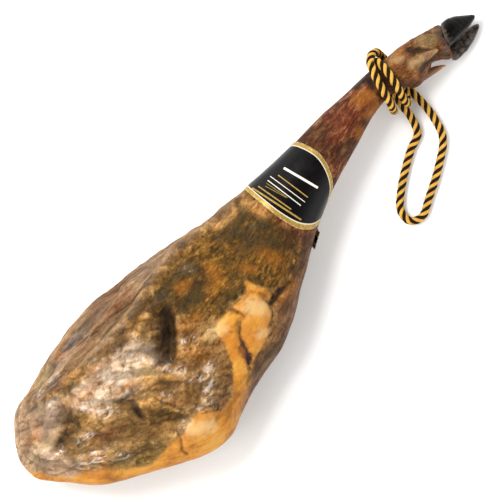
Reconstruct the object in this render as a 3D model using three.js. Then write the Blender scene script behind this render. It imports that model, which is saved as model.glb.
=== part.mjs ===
// A whole cured leg of ham with its trotter, lying on its skin side on a flat surface.
// Millimetres. +X runs from the butt towards the hoof, +Z points up, z = 0 is the surface
// it rests on, and x = y = 0 is the middle of the ham's own outline.
// Natural pieces: the leg, two main claws and two dewclaws of horn.
// Made pieces: a paper band round the shank and an endless twisted hanging rope.
import * as THREE from "three";
import { ParametricGeometry } from "three/addons/geometries/ParametricGeometry.js";
import { mergeVertices } from "three/addons/utils/BufferGeometryUtils.js";

// ---- Driving dimensions ----
const FLOOR = 0;
const SQUARENESS = 2.1; // 2 gives an elliptical section, more gives a boxier one
const RINGS_PER_STATION = 2;
const LEG_SIDES = 36;
const CLAW_SIDES = 16;
const ROPE_DIAMETER = 10;
const ROPE_SIDES = 10;
const ROPE_STEPS = 78;
const BAND_THICKNESS = 0.6;
const BAND_COLUMNS = 44;
const BAND_ROWS = 7;

// Sections across the leg, from the butt to the coronet of the hoof:
// x, lowest y, highest y, lowest z, highest z, z of the widest line, lean of the section.
// A section that leans has its x pushed forward in proportion to its y.
const LEG = [
  [-415, 27, 27, 56, 56, 56, 0],
  [-412, 12, 44, 42, 71, 56, 0],
  [-404, 0, 58, 33, 82, 57, 0],
  [-391, -15, 76, 24, 92, 58, 0],
  [-372, -35, 93, 16, 102, 60, 0],
  [-350, -56, 97, 9, 111, 62, 0],
  [-325, -72, 102, 4, 119, 63, 0],
  [-295, -87, 109, 0, 126, 64, 0],
  [-260, -106, 118, -3, 132, 65, 0],
  [-225, -121, 121, -4, 136.5, 65, 0],
  [-202, -124, 124, -4, 138, 65, 0],
  [-180, -121, 123, -4, 138, 65, 0],
  [-145, -108, 117, -2.5, 135, 66, 0],
  [-105, -99, 113, 1.5, 129, 66, 0],
  [-60, -88, 108, 8, 122, 66, 0],
  [-20, -68, 98, 15, 115, 66, 0],
  [22, -42, 94, 21, 109, 66, 0],
  [64, -16, 91, 26, 103, 65, 0],
  [106, 5, 90, 30, 98, 64, 0],
  [148, 20, 92, 33, 92, 63, 0],
  [190, 33, 92, 34, 86, 60, 0],
  [230, 45, 91, 32, 80, 56, 0],
  [262, 49, 91, 28, 76, 52, 0],
  [293, 39, 88, 25, 72, 48, 0],
  [316, 34, 86, 19, 68, 44, 0.1],
  [337, 36, 81, 14, 62, 39, 0.2],
  [352, 33, 77, 10, 56, 35, 0.32],
  [362, 28, 73, 7, 52, 31, 0.42],
  [366, 28, 71, 8, 50, 30, 0.42],
  [368, 34, 66, 14, 44, 30, 0.42],
  [368, 50, 50, 30, 30, 30, 0.42],
];

// The two main claws in the same columns, from the coronet to the tip
const CLAWS = {
  claw_upper: [
    [371.4, 56, 56, 36, 36, 36, 0.42],
    [371.4, 44, 68, 25, 48, 36, 0.42],
    [373.5, 41.5, 70, 22, 51, 36, 0.42],
    [386, 41, 68, 21, 48, 34, 0.3],
    [397, 42, 63, 20, 43, 31, 0.15],
    [406, 43, 57, 20, 37, 28, 0],
    [413, 45, 52, 21, 31, 26, 0],
    [415, 48, 48, 26, 26, 26, 0],
  ],
  claw_lower: [
    [361.8, 33, 33, 12, 12, 12, 0.42],
    [361.8, 25, 41, 4, 20, 12, 0.42],
    [364.5, 22.5, 41.5, 1.5, 21.5, 12, 0.42],
    [376, 22, 40.5, 0, 19.5, 11, 0.3],
    [390, 24, 39, 0, 17, 10, 0.15],
    [401, 28, 38, 1, 14.5, 9, 0],
    [409, 31, 37, 3, 12, 8, 0],
    [412, 34, 34, 8, 8, 8, 0],
  ],
};

// The dewclaws behind the trotter: the root and tip of each, its half width and half depth
const DEWCLAWS = {
  dewclaw_upper: { root: [319, 52, 71.5], tip: [349, 47, 64], half: [6.5, 4.2] },
  dewclaw_lower: { root: [314, 35.5, 26.5], tip: [343.5, 27, 23], half: [4.6, 6] },
};

// The paper band from the strap's free end to the tip of its rounded tongue: turns round
// the shank from the +Y side over the top, the two edges in x, and its height off the skin
const BAND = [
  [-0.49, 54, 74, 5],
  [-0.45, 54, 75, 2.5],
  [-0.4, 56, 80, 0.9],
  [-0.28, 58, 84, 0.7],
  [-0.16, 57, 90, 0.7],
  [-0.07, 48, 110, 0.7],
  [0, 42.5, 128, 0.7],
  [0.055, 42.5, 134, 0.7],
  [0.11, 43, 138.5, 0.7],
  [0.17, 45, 142.5, 0.7],
  [0.235, 48.5, 144.5, 0.7],
  [0.31, 56, 142, 0.7],
  [0.38, 67, 136, 0.7],
  [0.44, 77, 127, 0.7],
  [0.475, 82.5, 117, 0.7],
  [0.5, 87, 106, 0.7],
];

// The rope's route, an endless loop cut at a hidden join under the shank: twice over the
// shank, then round the loop that lies on the surface, and back to the join
const ROPE_ROUTE = [
  [276.2, 66.3, 19.2],
  [279.5, 82, 21.5],
  [278.5, 92.5, 34],
  [279.5, 95, 53],
  [282, 88.5, 70],
  [281, 72, 79.5],
  [277.5, 52, 77],
  [273.5, 36, 61],
  [273, 26.5, 42],
  [275.5, 28, 27],
  [281, 38, 18.2],
  [288.5, 60, 16.6],
  [292, 84, 19.5],
  [291.5, 97, 33],
  [289.5, 102, 50],
  [282, 103.5, 64],
  [273, 96.5, 77],
  [266, 80, 83],
  [260.5, 60, 82],
  [256, 41, 67],
  [254, 32, 43],
  [255, 33, 18],
  [258, 41, 9.5],
  [266, 50.5, 5.6],
  [278, 52.5, 5.4],
  [287, 42, 5.4],
  [289, 20, 5.4],
  [286, -12, 5.4],
  [276, -39, 5.4],
  [246, -62, 5.4],
  [208, -83, 5.4],
  [185, -94, 5.4],
  [170, -87, 5.4],
  [170, -70, 5.4],
  [187, -52, 5.4],
  [234, -21.5, 5.4],
  [256, -12, 5.6],
  [264.5, 8, 8],
  [267.5, 32, 16],
  [275.8, 65.3, 19.2],
];

// ---- Sections and surfaces ----

// A smooth run through the rows of a table; t counts rows from 0
function smoothRun(rows) {
  const places = rows.map((row, index) => index);
  const run = new THREE.CubicInterpolant(places, rows.flat(), rows[0].length);
  return (t) => Array.from(run.evaluate(t));
}

// A point of a section: angle 0 is the +Y side and a quarter turn is the top
function sectionPoint(section, angle) {
  const [x, yLow, yHigh, zLow, zHigh, zWide, lean] = section;
  const across = Math.cos(angle);
  const up = Math.sin(angle);
  const power = 2 / SQUARENESS;
  const yMiddle = (yLow + yHigh) / 2;
  const yHalf = (yHigh - yLow) / 2;
  const zReach = up > 0 ? zHigh - zWide : zWide - zLow;
  const y = yMiddle + yHalf * Math.sign(across) * Math.abs(across) ** power;
  const z = zWide + zReach * Math.sign(up) * Math.abs(up) ** power;
  return new THREE.Vector3(x + lean * (y - yMiddle), y, Math.max(z, FLOOR));
}

// Joins equal points and drops the flat triangles at the poles of a surface
function closedBody(geometry) {
  geometry.deleteAttribute("normal");
  geometry.deleteAttribute("uv");
  const merged = mergeVertices(geometry, 1e-3);
  const corners = merged.index.array;
  const kept = [];
  for (let i = 0; i < corners.length; i += 3) {
    const [a, b, c] = corners.slice(i, i + 3);
    const isFlat = a === b || b === c || c === a;
    if (!isFlat) kept.push(a, b, c);
  }
  merged.setIndex(kept);
  merged.computeVertexNormals();
  return merged;
}

// A closed body through a table of sections whose first and last shrink to a point
function loft(sections, sides) {
  const section = smoothRun(sections);
  const last = sections.length - 1;
  const surface = (u, v, target) => {
    target.copy(sectionPoint(section(u * last), -v * 2 * Math.PI));
  };
  return closedBody(new ParametricGeometry(surface, last * RINGS_PER_STATION, sides));
}

// ---- The leg and what is fitted to its skin ----
const legSection = smoothRun(LEG);

// The place in the table of sections at which the leg reaches x
function legPlace(x) {
  let low = 0;
  let high = LEG.length - 2;
  while (high - low > 1e-6) {
    const middle = (low + high) / 2;
    if (legSection(middle)[0] < x) low = middle;
    else high = middle;
  }
  return low;
}

// A point held off the leg's skin by lift, at x and at a number of turns round the leg
function aboveSkin(x, turns, lift) {
  const step = 0.02;
  const place = legPlace(x);
  const angle = turns * 2 * Math.PI;
  const point = sectionPoint(legSection(place), angle);
  const along = sectionPoint(legSection(place + step), angle).sub(point);
  const round = sectionPoint(legSection(place), angle + step).sub(point);
  const outward = round.cross(along).normalize();
  return point.addScaledVector(outward, lift);
}

// The band is a thin box bent round the shank
function bandGeometry() {
  const geometry = new THREE.BoxGeometry(1, 1, 1, BAND_COLUMNS, BAND_ROWS, 1);
  const position = geometry.attributes.position;
  const band = smoothRun(BAND);
  const corner = new THREE.Vector3();
  for (let i = 0; i < position.count; i += 1) {
    corner.fromBufferAttribute(position, i).addScalar(0.5);
    const [turns, left, right, height] = band(corner.x * (BAND.length - 1));
    const x = THREE.MathUtils.lerp(left, right, corner.y);
    const bent = aboveSkin(x, turns, height + corner.z * BAND_THICKNESS);
    position.setXYZ(i, bent.x, bent.y, bent.z);
  }
  return closedBody(geometry);
}

// A dewclaw is a blunt spike turned on a lathe, flattened, and laid from root to tip
function dewclawGeometry({ root, tip, half }) {
  const from = new THREE.Vector3(...root);
  const along = new THREE.Vector3(...tip).sub(from);
  const length = along.length();
  const profile = [
    [0, 0],
    [0.75, 0.03],
    [1, 0.2],
    [0.85, 0.5],
    [0.5, 0.82],
    [0.25, 0.96],
    [0, 1],
  ];
  const points = profile.map(([radius, reach]) => new THREE.Vector2(radius, reach));
  const geometry = closedBody(new THREE.LatheGeometry(points, CLAW_SIDES));
  geometry.scale(half[0], length, half[1]);
  const turn = new THREE.Quaternion();
  turn.setFromUnitVectors(new THREE.Vector3(0, 1, 0), along.normalize());
  geometry.applyQuaternion(turn);
  geometry.translate(...root);
  return geometry;
}

// ---- The rope ----
function ropeGeometry() {
  const points = ROPE_ROUTE.map((point) => new THREE.Vector3(...point));
  const route = new THREE.CatmullRomCurve3(points, false, "centripetal");
  const round = new THREE.Shape().absarc(0, 0, ROPE_DIAMETER / 2, 0, 2 * Math.PI);
  const geometry = new THREE.ExtrudeGeometry(round, {
    steps: ROPE_STEPS,
    curveSegments: ROPE_SIDES / 2,
    bevelEnabled: false,
    extrudePath: route,
  });
  return closedBody(geometry);
}

// ---- Materials ----
function material(color, roughness) {
  return new THREE.MeshStandardMaterial({ color, roughness, metalness: 0 });
}
const curedMeat = material("#8a5a32", 0.5);
const blackHorn = material("#1f1a18", 0.45);
const tanHorn = material("#8a6238", 0.5);
const blackPaper = material("#141014", 0.3);
const twistedRope = material("#c08a30", 0.85);

// ---- The assembly ----
const group = new THREE.Group();

function add(name, geometry, finish) {
  const mesh = new THREE.Mesh(geometry, finish);
  mesh.name = name;
  group.add(mesh);
}

add("ham_leg", loft(LEG, LEG_SIDES), curedMeat);
for (const [name, sections] of Object.entries(CLAWS)) {
  add(name, loft(sections, CLAW_SIDES), blackHorn);
}
for (const [name, shape] of Object.entries(DEWCLAWS)) {
  add(name, dewclawGeometry(shape), tanHorn);
}
add("paper_band", bandGeometry(), blackPaper);
add("hanging_rope", ropeGeometry(), twistedRope);

export default group;
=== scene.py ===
import math
import bmesh
import bpy
import numpy as np
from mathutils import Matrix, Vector
from mathutils.bvhtree import BVHTree


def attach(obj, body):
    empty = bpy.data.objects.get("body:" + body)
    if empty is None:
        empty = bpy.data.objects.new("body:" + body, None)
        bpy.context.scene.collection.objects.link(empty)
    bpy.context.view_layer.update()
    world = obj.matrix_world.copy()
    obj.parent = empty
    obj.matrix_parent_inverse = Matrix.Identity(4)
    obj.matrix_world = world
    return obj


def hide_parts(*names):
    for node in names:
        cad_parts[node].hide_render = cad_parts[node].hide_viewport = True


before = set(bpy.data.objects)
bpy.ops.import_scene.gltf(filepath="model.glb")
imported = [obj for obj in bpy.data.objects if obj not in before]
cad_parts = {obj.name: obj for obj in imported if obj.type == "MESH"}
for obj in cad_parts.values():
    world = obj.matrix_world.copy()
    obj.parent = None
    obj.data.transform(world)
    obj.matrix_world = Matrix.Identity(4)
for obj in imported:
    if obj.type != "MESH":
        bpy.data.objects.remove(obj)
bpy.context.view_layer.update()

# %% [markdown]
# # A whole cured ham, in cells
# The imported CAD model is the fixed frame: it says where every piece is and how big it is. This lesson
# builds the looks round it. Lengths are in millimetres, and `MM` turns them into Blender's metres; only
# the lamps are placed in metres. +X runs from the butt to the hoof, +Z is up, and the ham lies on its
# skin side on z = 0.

MM = 0.001


def linear(hex_colour):
    """An sRGB hex colour as the linear colour that a shader socket takes."""
    parts = [int(hex_colour[i:i + 2], 16) / 255 for i in (1, 3, 5)]
    return [v / 12.92 if v <= 0.04045 else ((v + 0.055) / 1.055) ** 2.4 for v in parts] + [1.0]


print("mid grey as linear light:", round(linear("#808080")[0], 3))

# %% [markdown]
# ## Materials and meshes
# Every finish here is a tree of shader nodes, and every shape is a list of points with its faces. Both
# could be built by hand in the editors, but a script repeats exactly. One function adds any node, and
# a few more make a material, a mesh and the numbers that a mesh stores for its material.

# %% One function that adds any node
S_CURVE = {"interpolation_type": "SMOOTHSTEP"}
COLOURS = {"data_type": "RGBA"}
SUMS = [{"operation": name} for name in ("ADD", "SUBTRACT", "MULTIPLY", "MULTIPLY_ADD", "MAXIMUM")]
ADD, SUBTRACT, TIMES, TIMES_ADD, HIGHER = SUMS


def node(tree, kind, settings=None, *values, output=None, **links):
    """Adds one node with its settings and links, and gives back one of its outputs.

    The values go to the inputs in use, in order; a link names its input, with _ for a space. Each may
    be a socket to join or a value to set. The output is the first in use unless it is named.
    """
    made = tree.nodes.new("ShaderNode" + kind)
    settings = dict(settings or {})
    for i, (position, colour) in enumerate(settings.pop("stops", [])):
        stops = made.color_ramp.elements
        stop = stops[i] if i < 2 else stops.new(position)
        stop.position = position
        stop.color = linear(colour)
    for name, value in settings.items():
        setattr(made, name, value)
    in_use = [socket for socket in made.inputs if socket.enabled]
    named = [(made.inputs[name.replace("_", " ")], value) for name, value in links.items()]
    for socket, value in [*zip(in_use, values), *named]:
        if isinstance(value, bpy.types.NodeSocket):
            tree.links.new(value, socket)
        else:
            socket.default_value = value
    return made.outputs[output] if output else next(o for o in made.outputs if o.enabled)


print("sums that the finishes use:", [settings["operation"] for settings in SUMS])


# %% Materials and meshes
def finish_for(name, **sockets):
    """A new material, its node tree and its Principled shader with some sockets set."""
    made = bpy.data.materials.new(name)
    made.use_nodes = True
    shader = made.node_tree.nodes["Principled BSDF"]
    for socket, value in sockets.items():
        shader.inputs[socket.replace("_", " ")].default_value = value
    return made, made.node_tree, shader


def join(tree, shader, **sockets):
    """Joins sockets to a shader's inputs by name, with _ for a space."""
    for name, socket in sockets.items():
        tree.links.new(socket, shader.inputs[name.replace("_", " ")])


def mesh_object(name, points_mm, faces):
    """A mesh object from points in millimetres."""
    mesh = bpy.data.meshes.new(name)
    mesh.from_pydata((np.asarray(points_mm, float) * MM).tolist(), [], faces)
    mesh.polygons.foreach_set("use_smooth", [True] * len(mesh.polygons))
    made = bpy.data.objects.new(name, mesh)
    bpy.context.scene.collection.objects.link(made)
    return made


def store(mesh, name, values):
    """Stores one number for each point of a mesh, for a material to read."""
    mesh.attributes.new(name, "FLOAT", "POINT").data.foreach_set("value", values)


print("CAD nodes to replace:", sorted(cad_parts))

# %% [markdown]
# ## Camera, floor and light
# A ham is catalogued from straight above with a long lens, so its outline is its plan. The leg runs
# from the lower left to the upper right of the picture, so the camera is turned about the vertical.
# One broad softbox stands on the straight side of the leg and throws a soft shadow to the other side; a
# weaker one stands beyond the butt, and a white room fills the rest. Softboxes are chosen because oily
# patches should show broad glints.

# %% Camera and light
PLAN_HEIGHT = 50      # height of the middle of the leg, where the picture's scale holds
CAMERA_RISE = 8000    # from that height up to the lens
PICTURE_WIDTH = 650   # what the picture spans at that height
LEG_TURN = 44         # degrees that the leg is turned in the picture
PICTURE_MIDDLE = (-7, 31)
SENSOR = 36

lens = bpy.data.cameras.new("plan_lens")
lens.sensor_width = SENSOR
lens.lens = SENSOR * CAMERA_RISE / PICTURE_WIDTH
lens.clip_end = 20    # metres
camera = bpy.data.objects.new("plan_camera", lens)
camera.location = [v * MM for v in (*PICTURE_MIDDLE, PLAN_HEIGHT + CAMERA_RISE)]
camera.rotation_euler = (0, 0, -math.radians(LEG_TURN))
bpy.context.scene.collection.objects.link(camera)
bpy.context.scene.camera = camera
bpy.context.scene.view_settings.view_transform = "Standard"


def softbox(name, place, aim, size, watts):
    """A square area light that faces a point; its lengths are in metres."""
    light = bpy.data.lights.new(name, "AREA")
    light.size = size
    light.energy = watts
    lamp = bpy.data.objects.new(name, light)
    lamp.location = place
    lamp.rotation_euler = (Vector(aim) - Vector(place)).to_track_quat("-Z", "Y").to_euler()
    bpy.context.scene.collection.objects.link(lamp)


WALLS, CEILING = 1.95, 0.4   # a dark ceiling keeps the ham's blacks deep, bright walls fill its shadow
softbox("key_softbox", (-0.55, 1.55, 2.6), (-0.05, 0, 0.05), 1.3, 84)
softbox("top_softbox", (-1.9, 0.4, 2.5), (-0.1, 0, 0.05), 1.2, 22)

room = bpy.data.worlds.new("white_room")
room.use_nodes = True
room_tree = room.node_tree
towards = node(room_tree, "TexCoord", output="Generated")
upward = node(room_tree, "SeparateXYZ", Vector=towards, output="Z")
brightness = node(room_tree, "MapRange", S_CURVE, upward, 0.25, 0.95, WALLS, CEILING)
join(room_tree, room_tree.nodes["Background"], Strength=brightness)
room_tree.nodes["Background"].inputs["Color"].default_value = (1, 1, 1, 1)
bpy.context.scene.world = room

FLOOR_HALF = 6000
FLOOR_LEVEL = -0.2    # a hair under the ham, so that the two surfaces never meet
corners = [(x * FLOOR_HALF, y * FLOOR_HALF, FLOOR_LEVEL) for x, y in ((-1, -1), (1, -1), (1, 1), (-1, 1))]
floor = mesh_object("pale_floor", corners, [(0, 1, 2, 3)])
# Emulsion paint scatters light evenly: rough, with next to no mirror in it.
paint, _, _ = finish_for("matt_white_studio_paint", Base_Color=linear("#f7f6f4"), Roughness=0.9,
                         Specular_IOR_Level=0.1)
floor.data.materials.append(paint)
print("camera lens, mm:", round(lens.lens, 1))

# %% [markdown]
# ## The hanging rope
# The real rope is 10 mm thick: four plied strands, two yellow and two black, laid right-handed with a
# full turn in every 26 mm. It is an endless loop whose join hides under the shank. A texture of
# stripes on a plain tube would look flat, so each strand is its own twisted tube. The route repeats
# the CAD route, so the strands lie where the CAD tube lies.

# %% The rope's route
ROPE_ROUTE = [
    (276.2, 66.3, 19.2), (279.5, 82, 21.5), (278.5, 92.5, 34), (279.5, 95, 53),
    (282, 88.5, 70), (281, 72, 79.5), (277.5, 52, 77), (273.5, 36, 61),
    (273, 26.5, 42), (275.5, 28, 27), (281, 38, 18.2), (288.5, 60, 16.6),
    (292, 84, 19.5), (291.5, 97, 33), (289.5, 102, 50), (282, 103.5, 64),
    (273, 96.5, 77), (266, 80, 83), (260.5, 60, 82), (256, 41, 67),
    (254, 32, 43), (255, 33, 18), (258, 41, 9.5), (266, 50.5, 5.6),
    (278, 52.5, 5.4), (287, 42, 5.4), (289, 20, 5.4), (286, -12, 5.4),
    (276, -39, 5.4), (246, -62, 5.4), (208, -83, 5.4), (185, -94, 5.4),
    (170, -87, 5.4), (170, -70, 5.4), (187, -52, 5.4), (234, -21.5, 5.4),
    (256, -12, 5.6), (264.5, 8, 8), (267.5, 32, 16), (275.8, 65.3, 19.2),
]


def even_line(points, step):
    """Points a step apart along a line of straight pieces."""
    points = np.asarray(points, float)
    along = np.concatenate([[0], np.cumsum(np.linalg.norm(np.diff(points, axis=0), axis=1))])
    at = np.linspace(0, along[-1], int(round(along[-1] / step)) + 1)
    return np.stack([np.interp(at, along, points[:, k]) for k in range(3)], axis=1), along[-1]


def smooth_line(points, pieces=24):
    """A centripetal Catmull-Rom curve through the points, as the CAD route is."""
    p = np.array(points, float)
    p = np.vstack([2 * p[0] - p[1], p, 2 * p[-1] - p[-2]])
    t = np.linspace(0, 1, pieces, endpoint=False)[:, None]
    line = []
    for a, b, c, d in zip(p, p[1:], p[2:], p[3:]):
        ta, tb, tc = (np.linalg.norm(v) ** 0.5 for v in (b - a, c - b, d - c))
        m1 = tb * ((b - a) / ta - (c - a) / (ta + tb) + (c - b) / tb)
        m2 = tb * ((c - b) / tb - (d - b) / (tb + tc) + (d - c) / tc)
        line.append(b + m1 * t + (3 * (c - b) - 2 * m1 - m2) * t**2 + (2 * (b - c) + m1 + m2) * t**3)
    return np.vstack([*line, p[-2]])


def frames_along(line):
    """Two directions across a loop at each point; they spin about it only as much as closes it."""
    ahead = np.gradient(line, axis=0)
    ahead /= np.linalg.norm(ahead, axis=1)[:, None]
    side = np.zeros_like(line)
    v = np.cross(ahead[0], (0, 0, 1))
    for i, a in enumerate(ahead):
        v = v - a * (v @ a)
        v /= np.linalg.norm(v)
        side[i] = v
    up = np.cross(ahead, side)
    twist = math.atan2(side[0] @ up[-1], side[0] @ side[-1])
    turn = np.linspace(0, twist, len(line))[:, None]
    return side * np.cos(turn) + up * np.sin(turn), up * np.cos(turn) - side * np.sin(turn)


RING_STEP = 1.3       # from one ring of points to the next
rope_line, rope_length = even_line(smooth_line(ROPE_ROUTE), RING_STEP)
print("rope length, mm:", round(rope_length, 1), "rings:", len(rope_line))

# %% The rope's strands
STRANDS = 4
LAY = 26              # length of one full turn of a strand
STRAND_OFF = 3.05     # from the rope's middle to a strand's middle
STRAND_DEEP = 2.3
STRAND_WIDE = 2.9     # a strand leans over, so it is cut across as an oval
STRAND_SIDES = 14
YARNS = 5             # ridges of the yarns that make a strand
YARN_DEPTH = 0.16
YARN_TURN = 0.55      # how far the yarns turn from one ring of points to the next

rope_side, rope_up = frames_along(rope_line)
turns = round(rope_length / LAY)
rope_points, rope_faces, rope_material = [], [], []
around = np.arange(STRAND_SIDES) * 2 * math.pi / STRAND_SIDES
for strand in range(STRANDS):
    first = len(rope_points)
    for i, middle in enumerate(rope_line):
        a = 2 * math.pi * (turns * i / len(rope_line) + strand / STRANDS)
        out = rope_side[i] * math.cos(a) + rope_up[i] * math.sin(a)
        across = rope_up[i] * math.cos(a) - rope_side[i] * math.sin(a)
        yarn = YARN_DEPTH * np.cos(YARNS * around - YARN_TURN * i)
        for b, lift in zip(around, yarn):
            deep = STRAND_OFF + (STRAND_DEEP + lift) * math.cos(b)
            rope_points.append(middle + out * deep + across * (STRAND_WIDE + lift) * math.sin(b))
    rings = len(rope_line)
    for i in range(rings):
        k = (i + 1) % rings
        for j in range(STRAND_SIDES):
            m = (j + 1) % STRAND_SIDES
            corners = ((k, j), (k, m), (i, m), (i, j))
            rope_faces.append(tuple(first + ring * STRAND_SIDES + side for ring, side in corners))
            rope_material.append(strand % 2)

rope = mesh_object("twisted_rope", rope_points, rope_faces)
rope.data.polygons.foreach_set("material_index", rope_material)
print("rope faces:", len(rope_faces))


# %% Polypropylene yarn
def rope_yarn(name, bright, deep):
    """Spun polypropylene yarn: matt, with fine broken fibres that catch the light."""
    made, tree, shader = finish_for(name, Roughness=0.75, Sheen_Weight=0.02, Sheen_Roughness=0.4,
                                    Specular_IOR_Level=0.08)
    # Real fibres are a tenth of a millimetre thick; they are drawn at 0.7 mm so that they show.
    place = node(tree, "TexCoord", output="Object")
    fibres = node(tree, "TexNoise", Vector=place, Scale=1 / (0.7 * MM), Detail=3.0, Roughness=0.6)
    wear = node(tree, "TexNoise", Vector=place, Scale=1 / (6 * MM), Detail=2.0)
    wear = node(tree, "Math", TIMES, wear, 0.35)
    both = node(tree, "Math", TIMES_ADD, fibres, 0.75, wear)
    colour = node(tree, "ValToRGB", {"stops": [(0.3, deep), (0.75, bright)]}, both)
    bump = node(tree, "Bump", Strength=0.5, Distance=0.3 * MM, Height=fibres)
    join(tree, shader, Base_Color=colour, Normal=bump)
    return made


rope.data.materials.append(rope_yarn("yellow_polypropylene_yarn", "#e6b452", "#9a6a26"))
rope.data.materials.append(rope_yarn("black_polypropylene_yarn", "#26180d", "#0b0603"))
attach(rope, "root")
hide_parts("hanging_rope")
[v * MM for v in ROPE_ROUTE[0]]
print("rope finishes:", [finish.name for finish in rope.data.materials])

# %% [markdown]
# ## The leg: one skin
# A ham is trimmed, salted and hung for years, so its shape is smooth at large and crumpled at small
# scale. Sculpting by hand can't be repeated, so the leg is made in three steps. The CAD solid gives
# the size. Lumps such as the roots of the dewclaws are joined to it, and a voxel remesh turns the lot
# into one even skin. Then every point of that skin moves along its normal by a relief that is written
# as named folds, hollows and noise, each with its own place and depth.

# %% Noise and places on the leg
SKIN_STEP = 2.1       # spacing of the skin's points


def lattice(cell, seed):
    """A repeatable number from 0 to 1 for each whole-numbered cell."""
    h = (cell[0] * 374761393 + cell[1] * 668265263 + cell[2] * 2147483647 + seed * 974634777) & 0xFFFFFFFF
    h = ((h ^ (h >> 13)) * 1274126177) & 0xFFFFFFFF
    return ((h ^ (h >> 16)) & 0xFFFFFF) / 0xFFFFFF


def noise(points, size, seed):
    """Smooth noise from -1 to 1 whose bumps are size millimetres apart; size may differ by axis."""
    p = points / np.asarray(size, float) + 31.7
    cell = np.floor(p).astype(np.int64)
    f = p - cell
    f = f * f * (3 - 2 * f)
    total = np.zeros(len(p))
    for corner in np.ndindex(2, 2, 2):
        weight = np.prod(np.where(corner, f, 1 - f), axis=1)
        total += weight * lattice((cell + corner).T, seed)
    return 2 * total - 1


def layered(points, size, seed, layers=4, gain=0.5):
    """Noise with finer layers added, each half the size of the one before."""
    size = np.asarray(size, float)
    total = sum(gain**i * noise(points, size / 2**i, seed + i) for i in range(layers))
    return total / sum(gain**i for i in range(layers))


def smooth(value, low, high):
    """0 below low, 1 above high, and an even S between."""
    t = np.clip((value - low) / (high - low), 0, 1)
    return t * t * (3 - 2 * t)


def off_line(places, line):
    """How far each place in plan is from a line of straight pieces."""
    line = np.array(line, float)
    if len(line) == 1:
        return np.linalg.norm(places - line[0], axis=1)
    far = np.full(len(places), 1e9)
    for a, b in zip(line, line[1:]):
        d = b - a
        t = np.clip((places - a) @ d / (d @ d), 0, 1)
        far = np.minimum(far, np.linalg.norm(places - a - t[:, None] * d, axis=1))
    return far


def off_patch(places, outline):
    """How far each place is outside a closed outline in plan; inside it is below 0."""
    line = np.array([*outline, outline[0]], float)
    inside = np.zeros(len(places), bool)
    x, y = places.T
    for (x0, y0), (x1, y1) in zip(line, line[1:]):
        crosses = (y0 > y) != (y1 > y)
        inside ^= crosses & (x < (x1 - x0) * (y - y0) / ((y1 - y0) or 1e-9) + x0)
    return off_line(places, line) * np.where(inside, -1, 1)


# %% One even skin from the CAD solid
LUMPS = [
    # middle, half sizes: two for the collar of skin round each dewclaw's root
    ((318, 53, 62), (26, 8, 8)),
    ((334, 50, 60), (18, 5, 6)),
    ((304, 39, 34), (16, 8, 10)),
    ((317, 37, 31), (15, 6.5, 9)),
]


def ball(middle, half):
    """A closed ellipsoid as points and faces."""
    shape = bmesh.new()
    bmesh.ops.create_icosphere(shape, subdivisions=3, radius=1)
    points = [[m + h * c for m, h, c in zip(middle, half, v.co)] for v in shape.verts]
    faces = [[v.index for v in f.verts] for f in shape.faces]
    shape.free()
    return points, faces


cad_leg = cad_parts["ham_leg"]
leg_points = [list(v.co / MM) for v in cad_leg.data.vertices]
leg_faces = [list(p.vertices) for p in cad_leg.data.polygons]
rough = mesh_object("rough_leg", leg_points, leg_faces)
weld = rough.modifiers.new("weld", "WELD")
weld.merge_threshold = 0.01 * MM
even = rough.modifiers.new("even", "SUBSURF")
even.levels = even.render_levels = 1
solid = bpy.data.meshes.new_from_object(rough.evaluated_get(bpy.context.evaluated_depsgraph_get()))
bpy.data.objects.remove(rough)
leg_points = [list(v.co / MM) for v in solid.vertices]
leg_faces = [list(p.vertices) for p in solid.polygons]
for middle, half in LUMPS:
    points, faces = ball(middle, half)
    leg_faces += [[len(leg_points) + v for v in f] for f in faces]
    leg_points += points
joined = mesh_object("joined_leg", leg_points, leg_faces)
remesh = joined.modifiers.new("even_skin", "REMESH")
remesh.mode = "VOXEL"
remesh.voxel_size = SKIN_STEP * MM
relax = joined.modifiers.new("relax", "SMOOTH")
relax.factor = 0.5
relax.iterations = 14
skin = bpy.data.meshes.new_from_object(joined.evaluated_get(bpy.context.evaluated_depsgraph_get()))
bpy.data.objects.remove(joined)
print("skin points:", len(skin.vertices), "faces:", len(skin.polygons))

# %% [markdown]
# ## The leg: relief
# On the real ham the lean side dries into ridges, the cut rim of fat stays plump, and the hip knob and
# the groove beside it keep the shape of the bones below. A displacement texture would need a painted
# image, so each fold, hollow and lump is a named line or outline in plan, and noise fills in the rest.
# The lines are bent a little by noise first, because nothing on meat is ruled.

# %% Where each kind of surface lies
values = np.empty(3 * len(skin.vertices))
skin.vertices.foreach_get("co", values)
skin_at = values.reshape(-1, 3) / MM
skin.vertices.foreach_get("normal", values)
outward = values.reshape(-1, 3).copy()
print("points:", len(skin_at))

# %% Places that follow the leg
WANDER = 2.4          # how far noise bends the lines in plan
SIDE_WANDER = 45      # and along the leg, where the skin runs down the sides
HALF_SLICE = 8        # each station measures a slice this far either way
EVEN_WIDTH = 220      # where the leg is this wide, strands have their own spacing
stations = np.linspace(-405, 360, 60)
slices = [skin_at[abs(skin_at[:, 0] - x) < HALF_SLICE, 1] for x in stations]
edges = [(part.min(), part.max()) for part in slices]
low_edge, high_edge = (np.interp(skin_at[:, 0], stations, side) for side in zip(*edges))
width = high_edge - low_edge
lay = skin_at.copy()  # places measured along the leg and across it, so that strands follow its taper
lay[:, 1] = (skin_at[:, 1] - (low_edge + high_edge) / 2) * np.sqrt(EVEN_WIDTH / width)
plan = skin_at[:, :2] + WANDER * np.stack([layered(skin_at, 22, s, 3) for s in (3, 9)], axis=1)
steep = 1 - smooth(outward[:, 2], -0.1, 0.5)
plan[:, 0] += SIDE_WANDER * steep * layered(skin_at, 55, 12, 4)
print("widest slice, mm:", round(float(width.max()), 1))

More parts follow.
